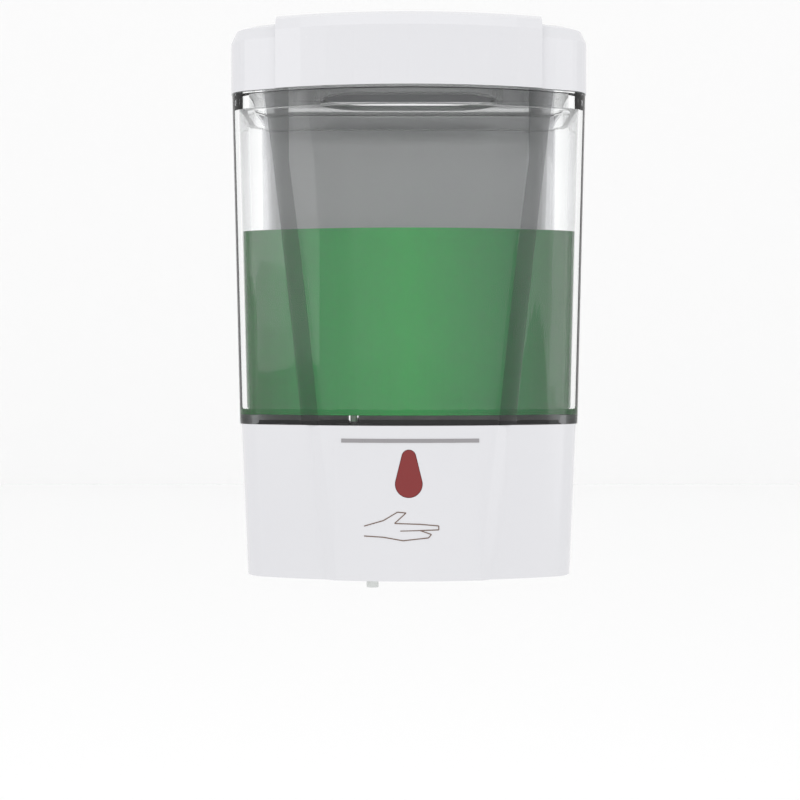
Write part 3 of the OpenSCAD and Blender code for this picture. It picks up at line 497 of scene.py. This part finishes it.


# ---- Deck, soap and filter ----
# The clear deck and its filler collar share the tank's plastic. The soap is a deep green liquid
# with a painted highlight in its middle and painted shade darker towards the sides.
dress(CLEAR, "tank_deck")
soap = clear_plastic("green_soap", (0.01, 0.62, 0.16), (0.01, 0.55, 0.14), 0.08, 1.36)
soap_shader = soap.node_tree.nodes["Principled BSDF"]
soap_shader.inputs["Transmission Weight"].default_value = 0.35
# The soap's base colour is painted light graded along x: a bright middle and painted shade darker towards
# both sides, a little darker on the right.
soap_place = soap.node_tree.nodes.new("ShaderNodeTexCoord")
soap_axes = soap.node_tree.nodes.new("ShaderNodeSeparateXYZ")
soap_painted_light_ramp = soap.node_tree.nodes.new("ShaderNodeValToRGB")
soap_span = soap.node_tree.nodes.new("ShaderNodeMapRange")
soap_span.inputs["From Min"].default_value = -60 * MM
soap_span.inputs["From Max"].default_value = 60 * MM
soap_links = soap.node_tree.links
soap_links.new(soap_place.outputs["Object"], soap_axes.inputs[0])
soap_links.new(soap_axes.outputs["X"], soap_span.inputs["Value"])
soap_links.new(soap_span.outputs["Result"], soap_painted_light_ramp.inputs["Fac"])
soap_painted_light_tones = soap_painted_light_ramp.color_ramp.elements
soap_painted_light_tones[0].color = (0.02, 0.16, 0.03, 1)
soap_painted_light_tones[1].color = (0.02, 0.14, 0.03, 1)
for share, tone in ((0.2, (0.01, 0.42, 0.08, 1)), (0.5, (0.0, 0.58, 0.08, 1)), (0.8, (0.005, 0.34, 0.07, 1))):
    soap_painted_light_tones.new(share).color = tone
soap_links.new(soap_painted_light_ramp.outputs["Color"], soap_shader.inputs["Base Color"])
dress(soap, "soap_fill")
dress(moulded("pale_green_filter", (0.35, 0.62, 0.38), (0.3, 0.55, 0.33), 0.4), "inlet_filter")


# ---- Lid ----
# The white lid carries the raised band. Its own form is right as drawn, so it keeps its shape and
# takes the glossy ABS, as do the battery door and the deck plate.
dress(WHITE, "lid", "battery_door", "deck_plate")


# ---- Front printing ----
# A thin grey rule stands for the printed mark, and an open palm under the window shows where the
# hand goes. Each stroke is let into the front panel and stands 0.1 mm proud of it.
INK = moulded("grey_ink", (0.3, 0.29, 0.3), (0.26, 0.25, 0.26), 0.5, bump=0.01)
BROWN_INK = moulded("brown_ink", (0.16, 0.1, 0.07), (0.13, 0.08, 0.06), 0.5, bump=0.01)
print_y = base_front - panel_rise


def printed_bar(name, start, end, width, ink):
    """Straight printed stroke from one point to another, given as x and height above the bottom."""
    run = Vector((end[0] - start[0], 0, end[1] - start[1]))
    mid_x = (start[0] + end[0]) / 2
    surface = print_y + BOW - math.sqrt(BOW ** 2 - mid_x ** 2)
    bpy.ops.object.select_all(action="DESELECT")
    place = (mid_x, surface + 0.1 * MM, z_bottom + (start[1] + end[1]) / 2)
    bpy.ops.mesh.primitive_cube_add(size=1, location=place,
                                    rotation=(0, -math.atan2(run.z, run.x), math.asin(mid_x / BOW)))
    stroke = bpy.context.object
    stroke.name = name
    stroke.scale = (run.length, 0.4 * MM, width)
    bpy.ops.object.transform_apply(location=True, rotation=True, scale=True)
    stroke.data.materials.clear()
    stroke.data.materials.append(ink)
    return stroke


def printed_line(name, points, width, ink):
    strokes = [printed_bar(name, a, b, width, ink) for a, b in zip(points, points[1:])]
    bpy.ops.object.select_all(action="DESELECT")
    for stroke in strokes:
        stroke.select_set(True)
    bpy.context.view_layer.objects.active = strokes[0]
    if len(strokes) > 1:
        bpy.ops.object.join()
    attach(strokes[0], "housing")


rule_points = [(x * MM, 49.7 * MM) for x in (-24, -16, -8, 0, 8, 16, 25)]
printed_line("printed_rule", rule_points, 1.4 * MM, INK)
palm = [(-15.8, 19.5), (-9, 21.5), (-4, 24.5), (-1, 24.2), (-5, 20.5), (4, 20.2), (10.6, 19.6),
        (10.6, 18.2), (4, 18), (8, 16.6), (7, 15.4), (-2, 14.4), (-9, 15.6), (-15.8, 16)]
printed_line("palm_outline", [(x * MM, z * MM) for x, z in palm], 0.35 * MM, BROWN_INK)
printed_line("palm_finger", [(x * MM, z * MM) for x, z in ((-3, 17.8), (4, 18))], 0.3 * MM, BROWN_INK)


# ---- Sensor window ----
# A dark red drop shaped window with a satin gloss.
dress(moulded("red_window", (0.23, 0.012, 0.012), (0.16, 0.008, 0.008), 0.3, spread=0.05, coat=0.1),
      "sensor_lens")


# ---- Battery cells ----
# Each cell has a black sleeve with a copper band round its button end, split along the cell.
def cell_finish(button_front):
    made = moulded("cell_sleeve_front" if button_front else "cell_sleeve_back", (0.02, 0.02, 0.022),
                   (0.03, 0.03, 0.03), 0.3, coat=0.2)
    nodes, links = made.node_tree.nodes, made.node_tree.links
    place = nodes.new("ShaderNodeTexCoord")
    axes = nodes.new("ShaderNodeSeparateXYZ")
    split = nodes.new("ShaderNodeMath")
    split.operation = "LESS_THAN" if button_front else "GREATER_THAN"
    cells_low, cells_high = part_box("battery_cell_1")
    split.inputs[1].default_value = (cells_low[1] + cells_high[1]) / 2 + (-12 if button_front else 12) * MM
    mix = nodes.new("ShaderNodeMix")
    mix.data_type = "RGBA"
    mix.inputs["B"].default_value = (0.55, 0.25, 0.1, 1)
    shader = nodes["Principled BSDF"]
    links.new(place.outputs["Object"], axes.inputs[0])
    links.new(axes.outputs["Y"], split.inputs[0])
    links.new(split.outputs[0], mix.inputs["Factor"])
    links.new(shader.inputs["Base Color"].links[0].from_socket, mix.inputs["A"])
    links.new(mix.outputs["Result"], shader.inputs["Base Color"])
    return made


dress(cell_finish(True), "battery_cell_1", "battery_cell_3")
dress(cell_finish(False), "battery_cell_2", "battery_cell_4")


# ---- Works inside the base ----
# Turned and pressed metals, moulded nylon and acetal gears, the green board, rubber and leads.
STEEL = moulded("turned_steel", (0.55, 0.56, 0.58), (0.45, 0.46, 0.48), 0.3, grain=400, bump=0.05, metal=1)
PLATED = moulded("plated_contact", (0.75, 0.74, 0.7), (0.68, 0.67, 0.63), 0.2, grain=300, bump=0.03, metal=1)
ACETAL = moulded("acetal_gears", (0.8, 0.78, 0.7), (0.75, 0.73, 0.65), 0.45)
dress(STEEL, "lid_pins", "door_pin", "pump_shaft", "idler_pin", "pump_screws", "motor_screws",
      "board_screws", "deck_screws", "back_screws")
dress(moulded("motor_steel", (0.5, 0.5, 0.5), (0.42, 0.42, 0.42), 0.35, grain=250, bump=0.08, metal=1),
      "motor_can")
dress(moulded("armature_copper", (0.5, 0.22, 0.1), (0.4, 0.16, 0.07), 0.4, grain=700, bump=0.2, metal=1),
      "motor_armature")
dress(moulded("pinion_brass", (0.7, 0.52, 0.22), (0.62, 0.45, 0.18), 0.3, metal=1), "motor_pinion")
dress(PLATED, "contact_plates", "contact_springs")
dress(ACETAL, "reduction_gear", "pump_drive_gear", "pump_idler_gear", "motor_endbell")
dress(moulded("inner_abs", (0.6, 0.61, 0.62), (0.55, 0.56, 0.57), 0.5), "battery_tray", "drive_plate",
      "pump_housing", "pump_cover")
dress(moulded("circuit_laminate", (0.01, 0.14, 0.05), (0.01, 0.1, 0.04), 0.35, grain=500, bump=0.1),
      "sensor_board")
dress(moulded("emitter_epoxy", (0.55, 0.65, 0.8), (0.5, 0.6, 0.75), 0.1), "ir_emitter")
dress(moulded("receiver_epoxy", (0.02, 0.015, 0.02), (0.03, 0.02, 0.03), 0.15), "ir_receiver")
dress(moulded("indicator_epoxy", (0.6, 0.02, 0.02), (0.5, 0.02, 0.02), 0.15), "status_led")
dress(moulded("black_nylon", (0.025, 0.025, 0.025), (0.04, 0.04, 0.04), 0.5), "switch_body", "switch_knob")
dress(moulded("silicone", (0.7, 0.72, 0.7), (0.64, 0.66, 0.64), 0.45), "tank_grommet", "inlet_sleeve",
      "outlet_hose", "outlet_nozzle")
dress(moulded("lead_red", (0.5, 0.02, 0.02), (0.42, 0.02, 0.02), 0.4), "battery_leads")
dress(moulded("lead_black", (0.03, 0.03, 0.03), (0.05, 0.05, 0.05), 0.4), "motor_leads")
